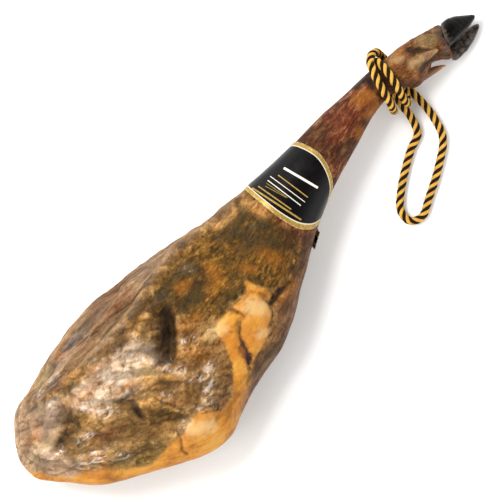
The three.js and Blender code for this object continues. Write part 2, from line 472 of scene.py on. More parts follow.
# %% Zones
ZONES = {
    # outlines in plan; a later one lies over an earlier one
    "flank": [(-337, 75), (-307, 76), (-277, 77), (-257, 74), (-237, 77), (-207, 75), (-187, 79),
              (-147, 87), (-107, 94), (-67, 99), (-27, 93), (13, 88), (38, 84), (53, 131), (-427, 161)],
    "butt": [(-432, 121), (-352, 106), (-337, 75), (-315, 61), (-319, 41), (-342, 31), (-365, 19),
             (-359, -4), (-357, -29), (-379, -33), (-437, -9)],
    "pale": [(-307, 53), (-292, 60), (-269, 58), (-247, 63), (-232, 56), (-207, 59), (-193, 51),
             (-185, 31), (-189, 11), (-207, 17), (-222, 11), (-242, 13), (-257, 17),
             (-277, 13), (-297, 21), (-303, 36)],
    "umber": [(-367, 23), (-347, 29), (-325, 27), (-307, 16), (-292, 1), (-269, 7),
              (-253, 5), (-247, -17), (-257, -39), (-269, -53), (-292, -44), (-307, -27),
              (-325, -13), (-347, -5), (-362, 6)],
    "mould_rim": [(-332, -41), (-312, -31), (-304, -41), (-292, -51), (-272, -53), (-257, -65),
                  (-259, -73), (-269, -79), (-292, -77), (-309, -67), (-325, -55)],
    "mould_fold": [(-247, -29), (-229, -31), (-222, -49), (-207, -67), (-219, -71), (-237, -59),
                   (-247, -44)],
    "mould_end": [(-189, -73), (-172, -69), (-155, -59), (-132, -64), (-125, -72), (-142, -81),
                  (-157, -89), (-175, -93), (-187, -87)],
    "mould": [(-157, 53), (-147, 71), (-127, 83), (-107, 87), (-67, 91), (-27, 88), (3, 81),
              (28, 76), (63, 71), (63, 1), (33, -14), (8, -29), (-12, -31), (-22, -24),
              (-29, -14), (-42, -5), (-67, -3), (-102, -5), (-107, 6), (-127, 21), (-137, 36)],
    "flesh": [(-177, 1), (-157, 11), (-137, 31), (-107, 3), (-106, -29), (-122, -54),
              (-147, -44), (-167, -29), (-179, -14)],
    "strip": [(-17, 89), (43, 75), (53, 46), (31, 45), (26, 61), (18, 73), (-7, 75), (-22, 83)],
    "low_flank": [(-157, -108), (-127, -90), (-103, -75), (-82, -73), (-57, -66), (-41, -53),
                  (-29, -43), (3, -37), (33, -19), (53, -5), (83, -39), (-7, -89), (-107, -129),
                  (-177, -141), (-179, -121)],
    "fat": [(-421, 45), (-408, 19), (-395, -2), (-379, -17), (-359, -29), (-341, -41),
            (-324, -56), (-307, -67), (-292, -76), (-267, -80), (-252, -76),
            (-232, -81), (-212, -74), (-197, -73), (-190, -81),
            (-185, -89), (-172, -95), (-157, -90), (-142, -77), (-132, -68), (-124, -57),
            (-120, -44), (-113, -31), (-113, -21), (-111, -12), (-104, -6), (-92, -5), (-82, -5.5),
            (-69, -6), (-57, -7), (-48, -5), (-42, 6), (-38, 6), (-34, -6), (-29, -17), (-27, -26),
            (-33, -32), (-39, -29), (-41, -37), (-47, -46), (-57, -54), (-69, -63), (-85, -70),
            (-101, -75), (-127, -99), (-152, -111), (-172, -115), (-172, -149), (-257, -149), (-417, -59)],
    "scar": [(-108, -45), (-99, -47), (-91, -39), (-95, -53), (-99, -65), (-105, -75), (-115, -81),
             (-113, -69), (-110, -57)],
    "shank": [(38, -39), (48, 51), (38, 131), (323, 131), (323, 1)],
    "trotter": [(281, 1), (281, 121), (413, 121), (413, -9)],
}
reach = {name: -off_patch(plan, outline) for name, outline in ZONES.items()}
UNDERSIDE = 34        # how many millimetres of reach one unit of downward slope is worth
RIND_SLOPE = 0.12     # the rind starts where the skin leans over this far
reach["rind"] = -UNDERSIDE * (outward[:, 2] + RIND_SLOPE)
for name in ("fat", "low_flank"):
    ragged_hem = 0.55 + 0.3 * layered(skin_at, 45, 5, 4)
    reach[name] = np.minimum(reach[name], UNDERSIDE * (outward[:, 2] + ragged_hem))
print("share of the skin that is fat:", round(float((reach["fat"] > 0).mean()), 3))

# %% Folds and grooves
RIDGE = [(-257, 69), (-237, 73), (-207, 72), (-187, 76), (-147, 84), (-107, 92), (-67, 98),
         (-27, 94), (13, 88), (38, 84)]
FOLDS = [
    # height (a groove is below 0), half width, line in plan
    (6.5, 7, RIDGE),
    (-2.4, 8, [(-307, 64), (-277, 66), (-247, 66), (-222, 61), (-197, 60), (-172, 65), (-152, 72)]),
    (4, 7, [(-269, 93), (-207, 97), (-167, 104), (-147, 109), (-117, 111), (-87, 113)]),
    (-4, 4.5, [(-307, 79), (-267, 82), (-227, 85), (-197, 89), (-167, 92), (-142, 93)]),
    (2.4, 4, [(-337, 85), (-312, 87), (-290, 88), (-269, 90)]),
    (-3, 4, [(-332, 93), (-287, 95), (-247, 102), (-207, 107), (-167, 113)]),
    (2.4, 4, [(-297, 103), (-247, 113), (-187, 117), (-127, 117)]),
    (-2.4, 4, [(-117, 102), (-87, 105), (-57, 104), (-7, 96), (33, 89)]),
    (6, 20, [(-359, 43), (-345, 51)]),
    (-4.5, 5, [(-317, 58), (-321, 43), (-333, 31), (-352, 27), (-366, 22)]),
    (-5, 13, [(-357, 18), (-327, 5), (-295, -17), (-265, -39), (-235, -61)]),
    (4, 6, [(-365, -5), (-347, -22), (-327, -30), (-307, -45), (-285, -53)]),
    (-3, 5, [(-357, -31), (-335, -41), (-313, -55), (-287, -67)]),
    (3, 9, [(-275, -5), (-251, -19), (-233, -39)]), (-3.5, 4.5, [(-259, 5), (-251, -11), (-254, -27)]),
    (-3, 4, [(-243, -31), (-229, -39), (-215, -61)]), (2.5, 6, [(-213, -27), (-203, -45), (-203, -63)]),
    (-2.5, 3, [(-359, -29), (-375, -9), (-386, 11), (-393, 28)]),
    (2.2, 4, [(-387, 29), (-375, 15), (-359, 9)]), (2.5, 4, [(-341, 9), (-325, 1), (-315, 5)]),
    (3, 5, [(-313, 45), (-301, 29), (-293, 17), (-282, 9)]),
    (-3, 4, [(-313, 55), (-310, 39), (-307, 23), (-311, 9)]),
    (3.5, 5, [(-203, 21), (-189, -3), (-181, -19), (-175, -39)]),
    (-4, 6, [(-191, 23), (-178, -1), (-169, -17), (-163, -31)]),
    (3, 6, [(-145, -37), (-162, -55), (-183, -73)]), (-2.5, 5, [(-155, -35), (-173, -53), (-193, -67)]),
    (2, 5, [(-157, 7), (-135, -3)]), (3, 9, [(-145, -17), (-127, -39)]),
    (-3.5, 3.5, [(-37, -38), (-17, -38), (1, -35)]),
    (-1.6, 2.5, [(-75, -3), (-73, -17), (-72, -27)]),
    (-3.5, 5, [(-79, -27), (-92, -43), (-98, -59), (-110, -77)]),
    (-3.5, 2.6, [(-45, -9), (-39, -19), (-37, -31)]), (2.5, 12, [(-63, -21), (-55, -39)]),
    (-3.5, 3, [(-239, -72), (-240, -82), (-250, -94), (-247, -101)]),
    (-2, 3, [(-102, -5), (-82, -3), (-62, -3), (-42, -2)]),
    (3, 7, [(303, 75), (315, 65), (329, 55)]),
    (-2.2, 2.2, [(316, 67), (331, 58), (343, 51)]),
    (-2, 2.5, [(293, 29), (293, 51), (293, 81)]),
    (2, 9, [(305, 43), (315, 49)]),
    (-1.5, 3, [(345, 29), (349, 51), (357, 71)]),
]
print("folds and grooves:", len(FOLDS))

# %% The hollow, the plump fat and the sum of the folds
HOLLOW = [(-131, 57), (-137, 39), (-148, 21), (-163, 5), (-179, -5), (-193, 7), (-197, 27),
          (-189, 45), (-172, 58), (-150, 63)]
HOLLOW_FLOOR = [(-144, 37), (-154, 23), (-164, 13), (-173, 3)]
HOLLOW_DEPTH = 16
PLUMP_FAT, SUNK_SCAR, PLUMP_PALE = 4.2, 3, 3   # how far whole zones stand out or sink
face_up = smooth(outward[:, 2], -0.2, 0.35)
relief = np.zeros(len(skin_at))
for height, half_width, line in FOLDS:
    relief += height * np.exp(-(off_line(plan, line) / half_width) ** 2)
into_hollow = smooth(-off_patch(plan, HOLLOW), -9, 8) * np.exp(-off_line(plan, HOLLOW_FLOOR) / 24)
relief -= HOLLOW_DEPTH * into_hollow
relief += PLUMP_FAT * np.sqrt(smooth(reach["fat"], -4, 16)) - SUNK_SCAR * smooth(reach["scar"], -2, 4)
relief += PLUMP_PALE * smooth(reach["pale"], -14, 20)
relief *= face_up
print("folds alone, mm:", round(float(relief.min()), 1), "to", round(float(relief.max()), 1))


# %% Crumples that noise fills in
def turned(points, degrees):
    """The same places with the plan turned, so that noise can be stretched along any direction."""
    c, s = math.cos(math.radians(degrees)), math.sin(math.radians(degrees))
    x, y, z = points.T
    return np.stack([c * x + s * y, c * y - s * x, z], axis=1)


def between(value, start, full, still_full, end):
    """1 from full to still_full, and an even S down to 0 at start and at end."""
    return smooth(value, start, full) * (1 - smooth(value, still_full, end))


# The number in front of each noise is its height in millimetres.
on = {name: smooth(value, -5, 6) for name, value in reach.items()}
meat = face_up * (1 - on["fat"]) * (1 - on["low_flank"]) * (1 - on["shank"])
folds = layered(turned(skin_at, -38), (30, 9, 12), 20, 3, 0.45)
creased = -smooth(0.16 - np.abs(layered(turned(skin_at, -34), (30, 11, 12), 30, 2)), 0, 0.16)
puckers = -smooth(0.12 - np.abs(layered(turned(skin_at, 40), (16, 7, 8), 35, 2)), 0, 0.12)
strands = layered(lay, (95, 7.5, 12), 40, 3)
grit = layered(skin_at, 5, 60, 2)
lumps = layered(skin_at, 60, 50, 2)
sag = layered(skin_at, 28, 60, 2)
dry = np.maximum(on["mould"], on["flank"])
fine = meat * (1 - dry) * (3.1 * folds + 2.2 * creased + 1.0 * puckers + 0.5 * grit)
fine += meat * on["flank"] * (4.4 * strands + 0.4 * grit) + meat * on["mould"] * (0.9 * grit + 0.9 * strands)
fine += 0.5 * on["shank"] * layered(lay, (50, 9, 12), 70, 3) + 0.35 * on["low_flank"] * strands
fine += 0.25 * on["fat"] * layered(skin_at, 16, 80, 2)
UNDER_ROPE = (225, 240, 300, 312)   # where the rope and the band lie close, so the skin stays calm
UNDER_BAND = (28, 44, 140, 152)
calm = 1 - 0.75 * between(skin_at[:, 0], *UNDER_ROPE)
calm *= 1 - 0.6 * between(skin_at[:, 0], *UNDER_BAND)
body = 1 - smooth(skin_at[:, 0], 20, 90)
move = relief + (fine + 1.2 * sag * (1 - 0.6 * on["mould"]) + 3 * lumps * body) * calm
skin_at += outward * move[:, None]
GAP_AT, GAP_HALF, GAP_PUSH = 332, 13, 5   # the waist of skin between the two dewclaws, pushed in
in_gap = np.exp(-((skin_at[:, 0] - GAP_AT) / GAP_HALF) ** 2) * (1 - smooth(skin_at[:, 1], 34, 52))
skin_at[:, 1] += GAP_PUSH * in_gap
skin_at[:, 2] = np.maximum(skin_at[:, 2], 0)
skin.vertices.foreach_set("co", (skin_at * MM).ravel())
skin.polygons.foreach_set("use_smooth", [True] * len(skin.polygons))
print("relief, mm:", round(float(move.min()), 1), "to", round(float(move.max()), 1))

# %% [markdown]
# ## The leg: colour and gloss
# Skin, rind, fat, lean and mould meet on one surface, so one material holds them all. Each zone is
# stored on the mesh as its reach: how many millimetres inside the zone's edge a point lies. The
# material adds noise in millimetres to that reach before it cuts the edge, so the borders are ragged
# and stay sharp however coarse the mesh is. Oily glints and cracks are stored the same way.

# %% Oily smears with painted glints, and cracks
OILY_SMEARS_AND_GLINTS = [
    # half width, line of each oily smear, whitened in patches as a painted glint
    (2.5, [(-313, 43), (-305, 34)]), (7, [(-294, 15), (-283, 7)]), (4.5, [(-381, 17), (-365, 13)]),
    (4, [(-385, 33), (-373, 27)]), (4.5, [(-337, 7), (-320, 2)]),
    (6, [(-353, -14), (-345, -23), (-327, -29), (-307, -44)]), (3.5, [(-337, -16), (-325, -21)]),
    (3, [(-259, 13), (-247, 9)]), (6, [(-197, 11), (-188, -4), (-180, -19), (-175, -35)]),
    (6, [(-147, -41), (-163, -55), (-182, -72)]), (4.5, [(-170, -41), (-164, -49)]),
    (3.5, [(-155, 6), (-137, -2)]), (2.2, [(-84, 73), (-80, 67)]),
    (1.6, [(-332, 86), (-312, 88), (-290, 87)]), (1.5, [(-269, 97), (-237, 99)]),
    (2, [(-219, -28), (-203, -32)]), (3, [(-243, 5), (-233, 1)]), (1.5, [(-292, 98), (-275, 97)]),
    (5, [(-229, -75), (-197, -73)]), (3, [(-342, 61), (-327, 65)]),
]
CRACKS_AND_CREASE_SHADE = [
    # half width, line of each crack or deep crease, darkened as cracked crust and as painted crease shade
    (2.2, [(-319, 57), (-323, 41), (-337, 30), (-352, 27), (-366, 22)]), (1.6, [(-277, 43), (-259, 42)]),
    (2, [(-269, 11), (-257, 7), (-252, -11), (-255, -27)]),
    (2.2, [(-237, -72), (-240, -82), (-250, -95), (-248, -101)]),
    (2, [(-297, -11), (-277, -24), (-257, -41), (-237, -54), (-212, -67)]),
    (2, [(-228, -19), (-220, -39), (-210, -63)]), (3, [(-37, -37), (-17, -37), (1, -35)]),
    (1.3, [(-75, -5), (-73, -17), (-72, -26)]), (1, [(-102, -6), (-82, -5), (-62, -5), (-49, -2)]),
    (1.4, [(-43, -9), (-38, -21), (-37, -35)]), (2.4, [(-80, -27), (-91, -36), (-100, -47)]),
    (2.2, [(-78, -6), (-73, -17), (-72, -25)]), (2, [(-38, -17), (-34, -27)]),
    (1.8, [(-167, 90), (-147, 89)]), (2.5, [(-271, 104), (-259, 103)]), (1.5, [(-247, 94), (-219, 91)]),
    (2, [(-197, -77), (-177, -92)]), (1.5, [(-82, -27), (-79, -29)]), (1.6, [(-100, -25), (-97, -28)]),
    (1.6, [(-204, -99)]), (1, [(-235, -105)]), (1.3, [(-51, -16), (-48, -18)]),
    (2.8, [(323, 71), (331, 64), (343, 54)]), (2, [(317, 43), (337, 44)]), (3, [(241, 91), (267, 91)]),
    (2, [(285, 71), (284, 41)]),
]
print("smears:", len(OILY_SMEARS_AND_GLINTS), "cracks:", len(CRACKS_AND_CREASE_SHADE))

# %% Stains, and painted shade and sheen
STAINS_AND_SHADE = {
    # name: colour, strength, softness in mm, strokes
    # dark patches, and painted shade on the hollow's floor, in grooves and between the rope's turns
    "dark_patches_and_shade": ("#33200a", 0.6, 5, [
        (6, [(-359, 23), (-329, 26)]), (5, [(-335, 45), (-329, 35)]), (4, [(-269, 11), (-259, 6)]),
        (6, [(-254, -7), (-255, -25)]), (6, [(-244, -32), (-233, -40)]), (6, [(-223, 62), (-207, 58)]),
        (8, [(-152, 67), (-129, 69)]), (7, [(-123, 43), (-105, 39)]), (6, [(-95, 45), (-69, 41)]),
        (7, [(21, 73), (28, 53), (33, 35)]), (9, [(33, 13), (38, -3)]), (9, [(-3, 45), (7, 33), (13, 17)]),
        (3.5, [(-222, 82), (-197, 84), (-172, 86)]), (5, [(-35, -37), (-1, -35)]),
        (12, [(147, 65), (155, 45), (179, 37)]), (11, [(145, 83), (169, 77)]), (5, [(171, 27), (189, 29)]),
        (5, [(205, 43), (221, 45)]), (4, [(189, 85), (207, 86)]), (6, [(239, 89), (273, 90)]),
        (5, [(259, 83), (255, 67), (258, 53)]), (6, [(141, 86), (159, 88)]),
        (6, [(39, 19), (47, 5), (57, -7)]), (5, [(15, -31), (37, -21), (59, -11)]),
        (4.5, [(319, 73), (329, 67)]), (3, [(329, 65), (345, 51)]), (4, [(317, 46), (337, 44)]),
        (4, [(285, 45), (293, 35)]), (3, [(343, 44), (355, 34)]), (4, [(-352, 80), (-347, 77)]),
        (3, [(-393, 27), (-389, 19)]), (5, [(-17, 55), (-1, 61)]), (3.5, [(-37, 39), (-19, 35)]),
        (8, [(19, 3), (29, 23), (27, 49)]), (5, [(-269, 103), (-259, 102)]), (5, [(-182, 51), (-167, 55)]),
        (9, [(276, 87), (269, 61), (265, 39)]), (4, [(-207, -9), (-203, -21)]),
        (10, [(-135, 55), (-147, 37), (-157, 21)]), (6, [(-179, 71), (-157, 73)]),
        (3, [(-91, -33), (-85, -27)]),
    ]),
    "stain_red": ("#6a2a1a", 0.45, 8, [
        (8, [(-319, -5), (-292, -19)]), (4, [(-290, -55), (-283, -61)]), (3, [(-212, 116), (-147, 115)]),
        (4, [(-197, 99), (-157, 101)]), (9, [(191, 77), (207, 73)]), (9, [(175, 65), (197, 59)]),
        (6, [(207, 59), (221, 57)]), (7, [(301, 69), (315, 65)]), (5, [(-212, -39), (-205, -49)]),
        (4, [(-359, 58), (-325, 62)]),
    ]),
    "stain_orange": ("#b9701f", 0.5, 8, [
        (4, [(-262, 61), (-247, 53)]), (6, [(-301, 49), (-285, 39), (-271, 45)]),
        (5, [(-257, 16), (-233, 12)]), (5, [(-279, 100), (-269, 103)]), (7, [(-105, 59), (-97, 55)]),
        (7, [(-59, 51), (-63, 31)]), (5, [(-83, 33), (-77, 27)]), (9, [(5, 21), (9, 1)]),
        (6, [(-31, 17), (-23, 11)]), (7, [(-143, 23), (-117, 17)]), (6, [(-153, -15), (-143, -27)]),
        (5, [(-25, -43), (1, -41)]), (10, [(231, 71), (247, 65)]), (5, [(225, 49), (243, 49)]),
        (5, [(199, 41), (209, 37)]), (7, [(293, 79), (311, 83)]), (8, [(339, 65), (357, 61)]),
        (5, [(29, 63), (39, 59)]), (6, [(-385, 51), (-369, 47)]), (5, [(-349, -41), (-337, -37)]),
        (9, [(-103, -23), (-113, -53)]), (8, [(-85, -53), (-67, -55)]),
    ]),
    "stain_pale": ("#dfc188", 0.5, 7, [
        (5, [(-383, 39), (-364, 28)]), (3, [(-398, 37), (-391, 23)]), (5, [(-219, 19), (-203, 3)]),
        (8, [(-119, -11), (-105, -15)]), (4, [(-325, 95), (-303, 101)]), (3, [(297, 81), (304, 73)]),
        (4, [(-342, 67), (-325, 63)]), (7, [(343, 71), (359, 64)]), (5, [(338, 53), (347, 61)]),
        (4.5, [(311, 59), (327, 54)]), (5, [(-73, -55), (-67, -58)]), (10, [(-57, -23), (-50, -31)]),
        (8, [(-221, -81), (-203, -95)]),
    ]),
    # painted grey sheen along the crests of the flank's ridges and other folds
    "painted_grey_sheen": ("#8d7763", 0.55, 5, [
        (4, [(-252, 74), (-207, 73), (-157, 82), (-107, 93)]),
        (4, [(-107, 93), (-67, 98), (-27, 94), (13, 88)]), (4, [(-307, 91), (-247, 105), (-187, 109)]),
        (4, [(-207, 43), (-193, 27), (-191, 11)]), (5, [(-337, 71), (-319, 65)]),
        (5, [(-367, 39), (-343, 55)]), (5, [(-137, 103), (-97, 105)]),
    ]),
    # near-black smudges, and painted shade in the deepest creases, at the fat lobe's edge and round the rope
    "black_smudges_and_crease_shade": ("#150e09", 0.8, 3, [
        (3.5, [(321, 74), (327, 69), (332, 66)]), (2.4, [(331, 65), (343, 55)]),
        (3, [(315, 45), (329, 46), (339, 43)]), (4, [(239, 88), (275, 89)]), (4, [(257, 83), (253, 71)]),
        (3.5, [(253, 61), (258, 51)]), (2.5, [(295, 88), (307, 88)]), (4, [(-34, -35), (-13, -35)]),
        (2, [(-79, -7), (-74, -16)]), (2.5, [(-359, 23), (-343, 27)]), (2.5, [(-253, 7), (-243, 5)]),
        (2.5, [(-327, 33), (-319, 41)]), (2.5, [(-255, -11), (-257, -23)]),
    ]),
    "stain_grey": ("#5d5049", 0.7, 4, [
        (5, [(370, 69), (364, 59), (361, 45)]), (4, [(356, 41), (352, 28)]),
    ]),
    # olive mould patches, and painted shade in one groove beside the flank's ridge
    "olive_mould_and_valley_shade": ("#453718", 0.74, 8, [
        (3, [(-307, 65), (-291, 66)]), (9, [(-129, 65), (-101, 73), (-77, 65)]),
        (10, [(-121, 33), (-91, 39)]), (8, [(-85, 4), (-52, 4)]), (8, [(-5, 67), (21, 65)]),
        (10, [(-1, 35), (23, 17)]), (8, [(3, 57), (27, 41)]), (4, [(-125, -87), (-87, -86), (-52, -81)]),
        (7, [(-325, 41), (-313, 27)]), (6, [(-27, 71), (-11, 67)]), (4, [(-47, 21), (-27, -3)]),
    ]),
}
print("strokes:", {name: len(strokes) for name, (_, _, _, strokes) in STAINS_AND_SHADE.items()})


# %% What the skin stores for its material
def nearest(strokes):
    """How far inside the nearest of some strokes each point lies."""
    return np.max([half_width - off_line(plan, line) for half_width, line in strokes], axis=0)


OVER_EDGE = 30        # marks end where the skin turns under: its slope counts as this much reach
FULL_RELIEF_SHADE = 1.6       # a crease this deep gets one unit of painted shade, a ridge this high one of painted light
marks = {"oil_and_painted_glint": OILY_SMEARS_AND_GLINTS, "crack_and_crease_shade": CRACKS_AND_CREASE_SHADE, **{name: mark[3] for name, mark in STAINS_AND_SHADE.items()}}
for name, strokes in marks.items():
    reach[name] = np.minimum(nearest(strokes), OVER_EDGE * outward[:, 2])
# the relief's height, kept for painted shade in the creases and painted light on the ridges
reach["dirt"] = fine / FULL_RELIEF_SHADE
reach["hollow"] = into_hollow
FAR_OUT = -60         # no border is felt from further away than this
for name, value in reach.items():
    store(skin, name, np.maximum(value, FAR_OUT))
skin.attributes.new("lay", "FLOAT_VECTOR", "POINT").data.foreach_set("vector", (lay * MM).ravel())
leg = bpy.data.objects.new("cured_leg", skin)
bpy.context.scene.collection.objects.link(leg)
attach(leg, "root")
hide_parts("ham_leg")
print("stored on each point:", ", ".join(reach))

# %% Air-dried skin, fat and lean
# Years of air-drying give lean meat a brown, rough, dull crust, and fat a waxy yellow surface that
# sweats oil, so the eye sees matt brown next to soft gloss.
cured, flesh, cured_shader = finish_for(
    "air_dried_lean_and_fat", Coat_Roughness=0.12, Specular_IOR_Level=0.1, Subsurface_Weight=0.06,
    Subsurface_Radius=(1.0, 0.45, 0.2), Subsurface_Scale=3 * MM)
LEAN = ["#795023", "#9a6e37", "#b18046", "#c59555", "#e2b473"]
LAYERS = [
    # zone, softness and raggedness of its edge in mm, grain in mm, colours from dark to light
    ("rind", 5, 12, (34, 16, 16), ["#3d2a1a", "#594028", "#745638", "#8c6d4b"]),
    ("butt", 8, 26, (24, 10, 12), ["#9a785a", "#b08b6b", "#bd9976", "#c9a581", "#dab792"]),
    ("flank", 5, 16, (70, 6, 10), ["#614024", "#7c5a36", "#95714f", "#a6845f", "#bb9b7a"]),
    ("pale", 14, 30, (15, 9, 12), ["#9c7850", "#c8a47f", "#e4c4a2", "#f2d7b8", "#ffe9cd"]),
    ("umber", 8, 26, (20, 10, 12), ["#815a2a", "#906734", "#9c733c", "#ad824a", "#c29a61"]),
    ("flesh", 6, 20, (16, 9, 10), ["#7d501f", "#996832", "#b17e43", "#c49153", "#dda964"]),
    ("mould", 8, 26, (11, 6, 7), ["#3f2809", "#5b3c0c", "#734d14", "#8b6120", "#a87c36"]),
    ("mould_rim", 4, 16, (12, 8, 9), ["#745727", "#866630", "#94723a", "#a68249", "#c19e65"]),
    ("mould_fold", 4, 16, (12, 8, 9), ["#65471a", "#745521", "#7f5d24", "#8a652c", "#9e7838"]),
    ("mould_end", 4, 16, (12, 8, 9), ["#795530", "#865f36", "#91683c", "#9d7446", "#b08556"]),
    ("strip", 4, 12, (40, 8, 10), ["#8d6033", "#ac7c49", "#c69152", "#e4ac64", "#f3bd71"]),
    ("shank", 8, 30, (13, 10, 10), ["#33170b", "#592b13", "#763c1e", "#955b33", "#b28559"]),
    ("trotter", 6, 26, (9, 8, 8), ["#492a11", "#653a1a", "#7d4b22", "#975f2d", "#ab8355"]),
    ("fat", 2, 4, (46, 24, 24), ["#905b22", "#ad702a", "#c18130", "#ca8f3a", "#ce9a4c"]),
    ("low_flank", 12, 22, (60, 9, 10), ["#472b19", "#5c3a22", "#714b2e", "#835d3e", "#957251"]),
    ("scar", 3, 8, (12, 6, 6), ["#311d18", "#38231e", "#3f2722", "#462d24", "#4e3224"]),
]
print("zones with a colour of their own:", len(LAYERS))

# %% Patterns in the meat
# Real pores, fibres and specks are a few times finer; these are drawn as coarse as they need to show.
PATTERNS = {
    # spacing in mm along, across and through the leg, detail, roughness, distortion
    "ragged": ((9, 9, 9), 7, 0.62, 0),
    "lean": ((20, 14, 14), 8, 0.65, 0),
    "speck": ((3.2, 3.2, 3.2), 6, 0.75, 0),
    "fibre": ((17, 2.6, 4), 5, 0.7, 0),
    "pores": ((2.3, 2.3, 2.3), 3, 0.6, 0),
    "wet": ((14, 6, 8), 4, 0.55, 0.8),
    "sheen": ((11, 11, 11), 5, 0.5, 0),
    "crumbs": ((2.4, 2.4, 2.4), 6, 0.7, 0),
    "threads": ((12, 4, 5), 5, 0.6, 0),
}
PATTERNS.update({zone: (size, 10, 0.74, 0.3) for zone, _, _, size, _ in LAYERS})
place = node(flesh, "TexCoord", output="Object")
along_leg = node(flesh, "Attribute", {"attribute_name": "lay"}, output="Vector")
grain = {}
for name, (size, detail, roughness, distortion) in PATTERNS.items():
    where = along_leg if len(set(size)) > 1 else place   # a stretched pattern follows the leg's taper
    scaled = node(flesh, "Mapping", Vector=where, Scale=[1 / (length * MM) for length in size])
    grain[name] = node(flesh, "TexNoise", Vector=scaled, Scale=1.0, Detail=detail, Roughness=roughness,
                       Distortion=distortion)
stored = {name: node(flesh, "Attribute", {"attribute_name": name}, output="Fac") for name in reach}
print("patterns:", len(grain), "stored values:", len(stored))


# %% Zones, stains and painted shade, each over the one before
def even_stops(colours, low, high):
    """Colour stops spread evenly from low to high, dark to light."""
    return [(low + (high - low) * i / (len(colours) - 1), colour) for i, colour in enumerate(colours)]


# A Map Range node takes a value, its low and its high, and then what low and high become.
MARK_RAGGED = 2.6    # how ragged a mark's edge is for each millimetre of its softness
ragged = node(flesh, "Math", SUBTRACT, grain["ragged"], 0.5)
colour = node(flesh, "ValToRGB", {"stops": even_stops(LEAN, 0.34, 0.66)}, grain["lean"])
for zone, softness, raggedness, _, colours in LAYERS:
    edge = node(flesh, "Math", TIMES_ADD, ragged, 2.0 * raggedness, stored[zone])
    cover = node(flesh, "MapRange", S_CURVE, edge, -softness, softness)
    tint = node(flesh, "ValToRGB", {"stops": even_stops(colours, 0.38, 0.63)}, grain[zone])
    colour = node(flesh, "Mix", COLOURS, cover, colour, tint)
    if zone == "fat":
        fatty = cover
# the marks lay stains, painted shade and painted sheen over the zones' colour
for name, (mark, strength, softness, _) in STAINS_AND_SHADE.items():
    edge = node(flesh, "Math", TIMES_ADD, ragged, MARK_RAGGED * softness, stored[name])
    cover = node(flesh, "MapRange", S_CURVE, edge, -softness, softness, 0.0, strength)
    colour = node(flesh, "Mix", COLOURS, cover, colour, linear(mark))
print("nodes for zones and stains:", len(flesh.nodes))

# %% Painted shade in the creases and the hollow, specks, fibres and pores
# These only darken or lighten the crust: creases get painted shade and ridges painted light, the hollow gets
# a painted shadow, and specks, fibres and pores add their own grain. The fat has none of them, and the pale
# meat, the butt and the shank have fewer, as if they were wiped.
TONE = 0.75           # the sweated oil makes every colour deeper than on a dry swatch
FAT_TONE = 0.11       # fat stays this much lighter
# painted shade in the creases and painted light on the ridges, from the relief's height
creases = node(flesh, "MapRange", S_CURVE, stored["dirt"], -1.1, 0.9, 0.6, 1.16)
shadow = node(flesh, "MapRange", S_CURVE, stored["hollow"], 0.05, 0.6, 1.0, 0.18)
shade = node(flesh, "Math", TIMES, creases, shadow)
speck = node(flesh, "MapRange", S_CURVE, grain["speck"], 0.38, 0.54, 0.68, 1.04)
fibre = node(flesh, "MapRange", S_CURVE, grain["fibre"], 0.34, 0.62, 0.78, 1.08)
pores = node(flesh, "MapRange", S_CURVE, grain["pores"], 0.6, 0.7, 1.0, 0.6)
speck = node(flesh, "Math", TIMES, speck, fibre)
speck = node(flesh, "Math", TIMES, speck, pores)
wiped = node(flesh, "Math", HIGHER, stored["pale"], stored["butt"])
wiped = node(flesh, "Math", HIGHER, wiped, stored["shank"])
wiped = node(flesh, "MapRange", S_CURVE, wiped, -8.0, 8.0)
wiped = node(flesh, "Math", TIMES, wiped, 0.55)
towards_plain = node(flesh, "Math", SUBTRACT, 0.95, speck)
towards_plain = node(flesh, "Math", TIMES, wiped, towards_plain)
speck = node(flesh, "Math", ADD, speck, towards_plain)
shade = node(flesh, "Math", TIMES, shade, speck)
crust = node(flesh, "Math", SUBTRACT, 1.0, fatty)
darker = node(flesh, "Math", SUBTRACT, shade, 1.0)
darker = node(flesh, "Math", TIMES, crust, darker)
shade = node(flesh, "Math", ADD, darker, 1.0)
tone = node(flesh, "Math", TIMES_ADD, fatty, FAT_TONE, TONE)
shade = node(flesh, "Math", TIMES, shade, tone)
colour = node(flesh, "VectorMath", {"operation": "SCALE"}, colour, shade)
print("nodes with dirt and specks:", len(flesh.nodes))

# %% Cracks and creases with painted shade, and wet smears with painted glints
# The edge of a crack or crease wanders a little and a smear's edge a lot, and a pattern breaks the smear
# into patches.
crack_and_crease_shade = node(flesh, "Math", TIMES_ADD, ragged, 5.0, stored["crack_and_crease_shade"])
crack_and_crease_shade = node(flesh, "MapRange", S_CURVE, crack_and_crease_shade, -0.8, 2.2, 0.0, 0.65)
# dark brown for the cracks, and painted shade along the deep creases
colour = node(flesh, "Mix", COLOURS, crack_and_crease_shade, colour, linear("#3a220f"))
smear = node(flesh, "Math", TIMES_ADD, ragged, 16.0, stored["oil_and_painted_glint"])
in_smear = node(flesh, "MapRange", S_CURVE, smear, -3.0, 4.0)
patches = node(flesh, "MapRange", S_CURVE, grain["wet"], 0.5, 0.56)
wet = node(flesh, "Math", TIMES, in_smear, patches)
# painted glint: the wet patches are whitened toward pale cream
painted_glint = node(flesh, "Math", TIMES, wet, 0.32)
colour = node(flesh, "Mix", COLOURS, painted_glint, colour, linear("#e4d3c0"))
print("nodes with cracks and smears:", len(flesh.nodes))

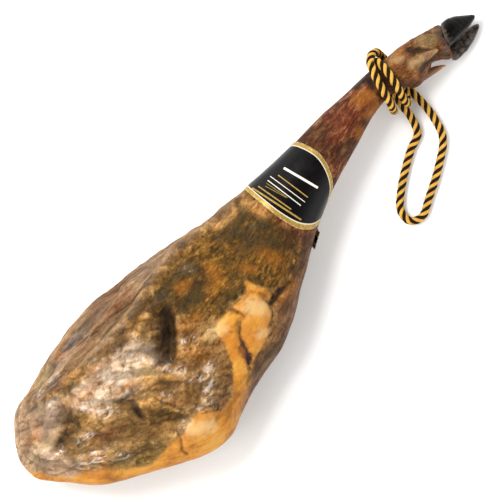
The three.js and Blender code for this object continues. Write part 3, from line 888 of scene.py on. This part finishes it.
# %% Roughness, bump and oily gloss
# Crumbs and threads roughen the crust; fat, shank and wet patches stay smooth under a coat of oil.
near_smear = node(flesh, "MapRange", S_CURVE, smear, -6.0, 4.0)
rough = node(flesh, "MapRange", S_CURVE, grain["sheen"], 0.35, 0.65, 0.42, 0.66)
rough = node(flesh, "Math", TIMES_ADD, near_smear, -0.16, rough)
threads = node(flesh, "Math", TIMES, grain["threads"], 2.0)
height = node(flesh, "Math", ADD, grain["crumbs"], threads)
shank_skin = node(flesh, "MapRange", S_CURVE, stored["shank"], -4.0, 6.0, 0.0, 0.6)
smooth_skin = node(flesh, "Math", HIGHER, fatty, shank_skin)
film = node(flesh, "Math", TIMES, wet, 0.8)
smooth_skin = node(flesh, "Math", HIGHER, smooth_skin, film)
bump_strength = node(flesh, "MapRange", S_CURVE, smooth_skin, 0, 1, 0.9, 0.2)
bump = node(flesh, "Bump", Height=height, Distance=1.2 * MM, Strength=bump_strength)
glint = node(flesh, "Math", TIMES, wet, 0.9)
oily = node(flesh, "Math", TIMES_ADD, fatty, 6.0, smear)
oily = node(flesh, "MapRange", S_CURVE, oily, -14.0, 3.0, 0.03, 0.4)
gloss = node(flesh, "Math", HIGHER, glint, oily)
join(flesh, cured_shader, Base_Color=colour, Roughness=rough, Normal=bump, Coat_Weight=gloss)
skin.materials.append(cured)
print("nodes in the leg's material:", len(flesh.nodes))

# %% [markdown]
# ## The claws
# Each hoof half is a cone of black horn that grows in rings from the coronet, worn at the edge and
# split by a deep cleft. A carved box would miss the taper, so each claw is lofted: outlines in plan
# and from the side give every section, and rings, flakes and scuffs are cut into the loft.

# %% Sections of a claw
CLAW_RINGS, CLAW_SIDES = 72, 48
CLEFT_SIDE, SOLE_SIDE, ROUND_SIDE = 0.6, 0.62, 0.95   # the less, the flatter; 1 is an ellipse


def run_through(rows, count):
    """Values that run smoothly through the rows of a table, count of them."""
    rows = np.array(rows, float)
    at = np.linspace(0, len(rows) - 1, count)
    i = np.minimum(at.astype(int), len(rows) - 2)
    t = (at - i)[:, None]
    p = np.vstack([2 * rows[0] - rows[1], rows, 2 * rows[-1] - rows[-2]])
    a, b, c, d = p[i], p[i + 1], p[i + 2], p[i + 3]
    return b + t * ((c - a) / 2 + t * (a - 2.5 * b + 2 * c - d / 2 + t * (1.5 * (b - c) + (d - a) / 2)))


CLAWS = {
    # rows: x, y toward the cleft, y of the outer wall, z of the sole, z of the back, lean of the section
    "claw_upper": ("hoof_half_upper", [
        (368, 44, 68, 24, 49, 0.42), (372.5, 41.2, 70.5, 21.5, 51.5, 0.42),
        (380, 40.4, 69.8, 20.5, 50.5, 0.36), (388, 40.6, 67.6, 20, 47.5, 0.27),
        (396, 41.2, 63.8, 20, 43.5, 0.17), (403, 42.3, 59.2, 20, 39, 0.08),
        (409, 43.5, 55, 20.5, 34.5, 0.02), (413.5, 45, 51.4, 21.5, 30.5, 0), (416, 47, 49, 23.5, 27.5, 0)]),
    "claw_lower": ("hoof_half_lower", [
        (359, 25.5, 41, 5, 19, 0.42), (363.5, 22.3, 42, 1.5, 20.4, 0.42), (371, 21.2, 42.2, 0.2, 20, 0.36),
        (380, 21.6, 42, 0, 19.4, 0.27), (389, 23.2, 41.8, 0, 18.2, 0.17), (398, 26.2, 41.2, 0.4, 16.6, 0.08),
        (405, 29.4, 40, 1.5, 14, 0.02), (410, 32, 38.4, 3.2, 11.6, 0), (412.8, 34.2, 36.6, 5.5, 8.8, 0)]),
}
print("rows for each claw:", [len(rows) for _, rows in CLAWS.values()])


# %% A claw lofted through its sections
def tube_faces(rings, sides):
    """Faces of a grid of rings, closed by one polygon at each end."""
    faces = []
    for i in range(rings - 1):
        for j in range(sides):
            k = (j + 1) % sides
            faces.append((i * sides + j, i * sides + k, (i + 1) * sides + k, (i + 1) * sides + j))
    faces.append(tuple(range(sides))[::-1])
    faces.append(tuple((rings - 1) * sides + j for j in range(sides)))
    return faces


def claw(name, rows, cleft_low, seam):
    """A closed horn loft; its cleft side is flatter than its wall."""
    table = run_through(rows, CLAW_RINGS)
    turn = np.linspace(0, 2 * np.pi, CLAW_SIDES, endpoint=False)
    across, up = np.cos(turn), np.sin(turn)
    rings = []
    for x, low, high, sole, back, lean in table:
        flatness = np.where((across < 0) == cleft_low, CLEFT_SIDE, ROUND_SIDE)
        side = np.sign(across) * np.abs(across) ** flatness
        rise = np.sign(up) * np.abs(up) ** np.where(up < 0, SOLE_SIDE, ROUND_SIDE)
        y = (low + high) / 2 + (high - low) / 2 * side
        z = (sole + back) / 2 + (back - sole) / 2 * rise
        rings.append(np.stack([x + lean * (y - (low + high) / 2), y, z], axis=1))
    points = np.concatenate(rings)
    centre = np.repeat([r.mean(axis=0) for r in rings], CLAW_SIDES, axis=0)
    away = points - centre
    away /= np.linalg.norm(away, axis=1)[:, None] + 1e-9
    grown = np.repeat(np.linspace(0, 1, CLAW_RINGS), CLAW_SIDES)
    ring_bump = 0.5 * layered(points + away * 3, (3.2, 30, 30), 5, 3) + 0.3 * noise(points, (7, 40, 40), 9)
    flakes = 0.4 * layered(points, (11, 2.2, 2.2), 6, 3)
    flakes -= 1.1 * np.exp(-((points[:, 1] - seam) / 1.0) ** 2) * smooth(away[:, 2], 0.1, 0.4)
    taper = smooth(1 - grown, 0, 0.08)
    points += away * ((ring_bump * smooth(grown, 0.03, 0.12) + flakes) * taper)[:, None]
    points[:, 2] = np.maximum(points[:, 2], 0)
    made = mesh_object(name, points, tube_faces(CLAW_RINGS, CLAW_SIDES))
    store(made.data, "grown", grown)
    store(made.data, "scuffed", np.full(len(points), 0.0 if cleft_low else 1.0))
    return made


SEAMS = {"claw_upper": 48.5, "claw_lower": 0}   # y of a groove along the back; 0 misses the claw
hoof = [claw(name, rows, node_name == "claw_upper", SEAMS[node_name])
        for node_name, (name, rows) in CLAWS.items()]
for piece, node_name in zip(hoof, CLAWS):
    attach(piece, "root")
    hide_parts(node_name)
    print(piece.name, "reaches x =", round(max(v.co.x for v in piece.data.vertices) / MM, 1), "mm")

# %% Black hoof horn
# Keratin is a translucent black plastic to the eye: satin, with pale scratches along its growth and a
# grey, chalky coronet where it leaves the skin.
horn, tree, keratin = finish_for("black_hoof_keratin", IOR=1.54, Specular_IOR_Level=0.1)
where = node(tree, "TexCoord", output="Object")
# Real scratches are a fifth of a millimetre wide; they are drawn at 1.6 mm so that they show.
drawn = node(tree, "Mapping", Vector=where, Scale=[1 / (length * MM) for length in (14, 1.6, 1.6)])
scratch = node(tree, "TexNoise", Vector=drawn, Scale=1.0, Detail=8.0, Roughness=0.7)
cloud = node(tree, "Mapping", Vector=where, Scale=[1 / (6 * MM)] * 3)
cloud = node(tree, "TexNoise", Vector=cloud, Scale=1.0, Detail=6.0, Roughness=0.65)
BLACKS = [(0.42, "#020101"), (0.6, "#080504"), (0.76, "#3a2c24")]
streaks = node(tree, "ValToRGB", {"stops": BLACKS}, scratch)
scuffed = node(tree, "Attribute", {"attribute_name": "scuffed"}, output="Fac")
scuff = node(tree, "MapRange", S_CURVE, cloud, 0.38, 0.58, 0.05, 0.7)
scuff = node(tree, "Math", TIMES, scuff, scuffed)
along = node(tree, "Attribute", {"attribute_name": "grown"}, output="Fac")
ragged_edge = node(tree, "Math", TIMES_ADD, scratch, -0.7, 0.42)
reach_up = node(tree, "Math", ADD, ragged_edge, along)
chalk = node(tree, "MapRange", S_CURVE, reach_up, 0.06, 0.26, 0.55, 0.0)
horn_colour = node(tree, "Mix", COLOURS, chalk, streaks, linear("#6a5b50"))
horn_colour = node(tree, "Mix", COLOURS, scuff, horn_colour, linear("#5c524b"))
worn = node(tree, "MapRange", None, cloud, 0.3, 0.7, 0.12, 0.36)
cuts = node(tree, "Math", TIMES_ADD, cloud, 0.7, scratch)
dents = node(tree, "Bump", Height=cuts, Distance=0.35 * MM, Strength=0.8)
join(tree, keratin, Base_Color=horn_colour, Roughness=worn, Normal=dents)
for piece in hoof:
    piece.data.materials.append(horn)
print("nodes in the black horn:", len(tree.nodes))

# %% [markdown]
# ## The dewclaws
# The two dewclaws are short, flattened spikes of tan horn that sit in collars of skin behind the
# trotter. The collars are part of the leg's skin, so only the horn is made here, as bent lofts whose
# root stays hidden in the collar.

# %% Dewclaw horn
DEWCLAWS = {
    # root, bend, tip, half width in plan, half depth
    "dewclaw_upper": ("dewclaw_horn_upper", (310, 56, 60), (335, 54, 71.5), (349.5, 47.8, 63), 6.6, 4.6),
    "dewclaw_lower": ("dewclaw_horn_lower", (300, 40, 32), (328, 35, 27), (344.5, 26.4, 25), 6.4, 6),
}


def spike(name, root, bend, tip, half_width, half_depth, rings=40, sides=28):
    """A flattened horn spike along a bent line, blunt at its tip."""
    t = np.linspace(0, 1, rings)[:, None]
    root, bend, tip = (np.array(p, float) for p in (root, bend, tip))
    middle = (1 - t) ** 2 * root + 2 * t * (1 - t) * bend + t**2 * tip
    ahead = np.gradient(middle, axis=0)
    ahead /= np.linalg.norm(ahead, axis=1)[:, None]
    beside = np.cross(ahead, (0, 0, 1))
    beside /= np.linalg.norm(beside, axis=1)[:, None]
    above = np.cross(beside, ahead)
    turn = np.linspace(0, 2 * np.pi, sides, endpoint=False)
    girth = (1 - t[:, 0]**1.7) ** 0.8 * (0.82 + 0.18 * np.sin(np.pi * t[:, 0])) + 0.05
    wide, deep = half_width * np.cos(turn)[:, None], half_depth * np.sin(turn)[:, None]
    rings_of_points = [m + r * (wide * b + deep * a) for m, b, a, r in zip(middle, beside, above, girth)]
    points = np.concatenate(rings_of_points)
    away = points - np.repeat(middle, sides, axis=0)
    away /= np.linalg.norm(away, axis=1)[:, None] + 1e-9
    growth_rings = 0.3 * np.sin(points[:, 0:1] * 2.1)
    points += away * (growth_rings + 0.4 * layered(points, (8, 2.5, 2.5), 8, 3)[:, None])
    made = mesh_object(name, points, tube_faces(rings, sides))
    grown = np.repeat(t[:, 0], sides)
    store(made.data, "grown", grown)
    return made


print("dewclaws:", len(DEWCLAWS))

# %% Tan dewclaw horn
# Tan keratin: amber where it is thin, darker and dirty at its root, with fine lines along it.
tan_horn, tree, amber = finish_for("tan_dewclaw_keratin", Roughness=0.42, IOR=1.54)
where = node(tree, "TexCoord", output="Object")
# The horn's growth lines are a few tenths of a millimetre apart; they are drawn 1.5 mm apart to show.
drawn = node(tree, "Mapping", Vector=where, Scale=[1 / (length * MM) for length in (10, 1.5, 1.5)])
lines = node(tree, "TexNoise", Vector=drawn, Scale=1.0, Detail=7.0, Roughness=0.7)
along = node(tree, "Attribute", {"attribute_name": "grown"}, output="Fac")
tone = node(tree, "Math", TIMES_ADD, along, 0.5, lines)
TANS = [(0.45, "#3a2110"), (0.7, "#684020"), (0.92, "#86592c"), (1.0, "#b08a50")]
amber_colour = node(tree, "ValToRGB", {"stops": TANS}, tone)
amber_bump = node(tree, "Bump", Height=lines, Distance=0.4 * MM, Strength=0.7)
join(tree, amber, Base_Color=amber_colour, Normal=amber_bump)
for node_name, (name, *shape) in DEWCLAWS.items():
    piece = spike(name, *shape)
    piece.data.materials.append(tan_horn)
    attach(piece, "root")
    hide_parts(node_name)
    print(piece.name, "points:", len(piece.data.vertices))

# %% [markdown]
# ## The paper band
# A die-cut label of coated paper is wrapped round the shank and glued at the back, where a narrow
# strap's end stands free. Paper bends one way only and spans small dents, so the band isn't shrunk
# onto the skin: rays find the skin all round, the radii are filled and smoothed, and the sheet is
# laid just above them with a real thickness. Its printing is only a border and plain rules.

# %% Where the skin lies under the band
BAND = [
    # turns round the shank from the +Y side over the top, edges in x, height off the skin
    (-0.49, 54, 74, 5), (-0.45, 54, 75, 2.5), (-0.4, 56, 80, 0.9), (-0.28, 58, 84, 0.7),
    (-0.16, 57, 90, 0.7), (-0.07, 48, 110, 0.7), (0, 42.5, 128, 0.7), (0.055, 42.5, 134, 0.7),
    (0.11, 43, 138.5, 0.7), (0.17, 45, 142.5, 0.7), (0.235, 48.5, 144.5, 0.7), (0.31, 56, 142, 0.7),
    (0.38, 67, 136, 0.7), (0.44, 77, 127, 0.7), (0.475, 82.5, 117, 0.7), (0.5, 87, 106, 0.7),
]
PAPER = 0.35          # thickness of the sheet
COLUMNS, ROWS = 330, 64
WIDEST = 65           # height of the shank's widest line
SHANK_DEEP = 36       # half the shank's depth, roughly, to aim the rays by
FAR = 150             # how far out the rays start
skin_tree = BVHTree.FromPolygons([tuple(p) for p in skin_at], [tuple(p.vertices) for p in skin.polygons])
table = run_through(BAND, COLUMNS)
turns, left, right, lift = table.T
across = np.linspace(0, 1, ROWS)
band_x = left[:, None] + (right - left)[:, None] * across
middle_y = np.interp(band_x, stations, [(a + b) / 2 for a, b in edges])
half_y = np.interp(band_x, stations, [(b - a) / 2 for a, b in edges])
angle = 2 * np.pi * turns[:, None] + np.zeros_like(band_x)
aim = np.stack([half_y * np.cos(angle), SHANK_DEEP * np.sin(angle)], axis=-1)
aim /= np.linalg.norm(aim, axis=-1)[..., None]
radius = np.empty_like(band_x)
for i, j in np.ndindex(radius.shape):
    side, rise = aim[i, j]
    start = Vector((band_x[i, j], middle_y[i, j] + FAR * side, WIDEST + FAR * rise))
    _, _, _, distance = skin_tree.ray_cast(start, Vector((0, -side, -rise)))
    radius[i, j] = FAR - distance
print("shank's radii, mm:", round(float(radius.min()), 1), "to", round(float(radius.max()), 1))


# %% The sheet laid over the radii
def spread(values, passes, pick):
    """Each value mixed with its neighbours along both axes of a grid."""
    for _ in range(passes):
        padded = np.pad(values, 1, mode="edge")
        near = np.stack([padded[1:-1, 1:-1], padded[:-2, 1:-1], padded[2:, 1:-1],
                         padded[1:-1, :-2], padded[1:-1, 2:]])
        values = pick(near)
    return values


taut = spread(spread(radius, 3, lambda near: near.max(axis=0)), 30, lambda near: near.mean(axis=0))
taut = np.maximum(taut, radius + 0.1) + lift[:, None] - 0.3
layers = []
for depth in (PAPER, 0):
    r = taut + depth
    layers.append(np.stack([band_x, middle_y + r * aim[..., 0], WIDEST + r * aim[..., 1]], axis=-1))
outer_sheet, inner_sheet = (sheet.reshape(-1, 3) for sheet in layers)
per_side = COLUMNS * ROWS
faces = []
for i in range(COLUMNS - 1):
    for j in range(ROWS - 1):
        a = i * ROWS + j
        faces.append((a, a + 1, a + ROWS + 1, a + ROWS))
        faces.append(tuple(per_side + v for v in (a, a + ROWS, a + ROWS + 1, a + 1)))
rim = [i * ROWS for i in range(COLUMNS)] + [(COLUMNS - 1) * ROWS + j for j in range(1, ROWS)]
rim += [i * ROWS + ROWS - 1 for i in range(COLUMNS - 2, -1, -1)] + list(range(ROWS - 2, 0, -1))
faces += [(a, b, per_side + b, per_side + a) for a, b in zip(rim, rim[1:] + rim[:1])]
band = mesh_object("printed_paper_band", np.vstack([outer_sheet, inner_sheet]), faces)
band.data.validate()
check = bmesh.new()
check.from_mesh(band.data)
bmesh.ops.recalc_face_normals(check, faces=check.faces)
check.to_mesh(band.data)
check.free()
print("band faces:", len(band.data.polygons))

# %% Distances on the band, for its printing
arc = np.linalg.norm(np.diff(outer_sheet.reshape(COLUMNS, ROWS, 3)[:, ROWS // 2], axis=0), axis=1)
arc = np.concatenate([[0], np.cumsum(arc)])
unrolled = np.stack([band_x, arc[:, None] + np.zeros_like(band_x)], axis=-1).reshape(-1, 2)
outline = [*zip(left, arc), *zip(right[::-1], arc[::-1])]   # the free end was cut without a border
from_edge = off_line(unrolled, outline[:COLUMNS:3] + outline[COLUMNS - 1::3])
store(band.data, "from_edge", np.tile(from_edge, 2))
front = np.repeat(smooth(turns, -0.03, 0.0), ROWS)
store(band.data, "front", np.tile(front, 2))
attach(band, "root")
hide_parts("paper_band")
print("band length round the shank, mm:", round(float(arc[-1]), 1))

# %% Coated black paper with gold ink
# Clay-coated paper is smooth, so black ink on it is deep and mirrors the lamps softly. The gold ink
# holds metal flakes: it is duller than foil. Fine creases and rubbed edges show the paper's cream.
coated, tree, print_shader = finish_for("gloss_coated_black_paper", IOR=1.5, Specular_IOR_Level=0.16)
where = node(tree, "TexCoord", output="Object")
edge_mm = node(tree, "Attribute", {"attribute_name": "from_edge"}, output="Fac")
front_side = node(tree, "Attribute", {"attribute_name": "front"}, output="Fac")
BORDER, KEYLINE = 5.4, 1.2   # widths of the gold border and of the pale line inside it
INK_EDGE = 0.25              # how soft the edge of a line of ink is
RULES = [
    # one end in plan, its slant in degrees from +Y, length, half width, 1 for pale and 0 for gold
    ((98.2, 77), 15.6, 51, 1.5, 1), ((86.5, 75.5), 8.9, 48, 0.7, 0), ((78.1, 81.5), 9.2, 56, 0.45, 1),
    ((72.1, 80), 8.5, 54, 0.55, 1), ((64.6, 77), 17, 31, 0.3, 0), ((68.3, 78.5), 11.3, 33, 0.3, 0),
    ((58, 83), 10.7, 52, 0.8, 0), ((50.8, 87), 12.8, 76, 1.1, 0),
]
print("printed rules:", len(RULES))


def soft_step(at, soft):
    """The limits of a step up at a value, for a Map Range node."""
    return at - soft, at + soft


# %% Rules printed on the band
# Each rule is a strip of the plan: the object's place is turned and measured in millimetres, and soft
# steps cut it to its width and to its length.
inks = [0.0, 0.0]            # how much gold and how much pale ink the rules lay down
for (x, y), slant, length, half_width, is_pale in RULES:
    turned_plan = node(tree, "Mapping", {"vector_type": "TEXTURE"}, Vector=where, Scale=[MM] * 3,
                       Location=(x * MM, y * MM, 0), Rotation=(0, 0, math.radians(slant)))
    beside, forward, _ = node(tree, "SeparateXYZ", Vector=turned_plan).node.outputs
    beside = node(tree, "Math", {"operation": "ABSOLUTE"}, beside)
    beside = node(tree, "Math", TIMES, beside, -1.0)
    line = node(tree, "MapRange", S_CURVE, beside, *soft_step(-half_width, INK_EDGE))
    down = node(tree, "Math", TIMES, forward, -1.0)
    started = node(tree, "MapRange", S_CURVE, down, *soft_step(0.0, 0.2))
    not_over = node(tree, "MapRange", S_CURVE, forward, *soft_step(-length, 0.2))
    in_length = node(tree, "Math", TIMES, started, not_over)
    line = node(tree, "Math", TIMES, line, in_length)
    inks[is_pale] = node(tree, "Math", HIGHER, inks[is_pale], line)
gold_rules, pale_rules = (node(tree, "Math", TIMES, ink, front_side) for ink in inks)
print("nodes for the rules:", len(tree.nodes))

# %% Inks, rubbed edges and creases
mottle = node(tree, "Mapping", Vector=where, Scale=[1 / (3 * MM)] * 3)
mottle = node(tree, "TexNoise", Vector=mottle, Scale=1.0, Detail=6.0, Roughness=0.7)
rub = node(tree, "Mapping", Vector=where, Scale=[1 / (17 * MM)] * 3)
rub = node(tree, "TexNoise", Vector=rub, Scale=1.0, Detail=8.0, Roughness=0.7)
GOLDS = [(0.3, "#7d652c"), (0.5, "#987c3d"), (0.7, "#b2964f")]
gold_ink = node(tree, "ValToRGB", {"stops": GOLDS}, mottle)
past_border = node(tree, "MapRange", S_CURVE, edge_mm, *soft_step(BORDER, INK_EDGE))
past_keyline = node(tree, "MapRange", S_CURVE, edge_mm, *soft_step(BORDER + KEYLINE, INK_EDGE))
rubbed = node(tree, "MapRange", S_CURVE, rub, *soft_step(0.6, 0.1))
printed = node(tree, "Mix", COLOURS, rubbed, linear("#040203"), linear("#0b0708"))
printed = node(tree, "Mix", COLOURS, gold_rules, printed, gold_ink)
printed = node(tree, "Mix", COLOURS, pale_rules, printed, linear("#d9d2c4"))
printed = node(tree, "Mix", COLOURS, past_keyline, linear("#cbc2ab"), printed)
printed = node(tree, "Mix", COLOURS, past_border, gold_ink, printed)
at_edge = node(tree, "Math", TIMES, edge_mm, -1.0)
at_edge = node(tree, "MapRange", S_CURVE, at_edge, *soft_step(-0.5, 0.4))
frayed = node(tree, "MapRange", S_CURVE, mottle, *soft_step(0.5, 0.1))
frayed = node(tree, "Math", TIMES, at_edge, frayed)
printed = node(tree, "Mix", COLOURS, frayed, printed, linear("#cdbb96"))
metal = node(tree, "Math", TIMES, past_border, -1.0)
metal = node(tree, "MapRange", S_CURVE, metal, *soft_step(-0.5, 0.4))
metal = node(tree, "Math", TIMES, metal, 0.3)
satin = node(tree, "MapRange", None, rub, 0.3, 0.7, 0.2, 0.36)
creased_paper = node(tree, "Bump", Height=rub, Distance=0.6 * MM, Strength=0.2)
join(tree, print_shader, Base_Color=printed, Metallic=metal, Roughness=satin, Normal=creased_paper)
band.data.materials.append(coated)
print("nodes in the paper:", len(tree.nodes))
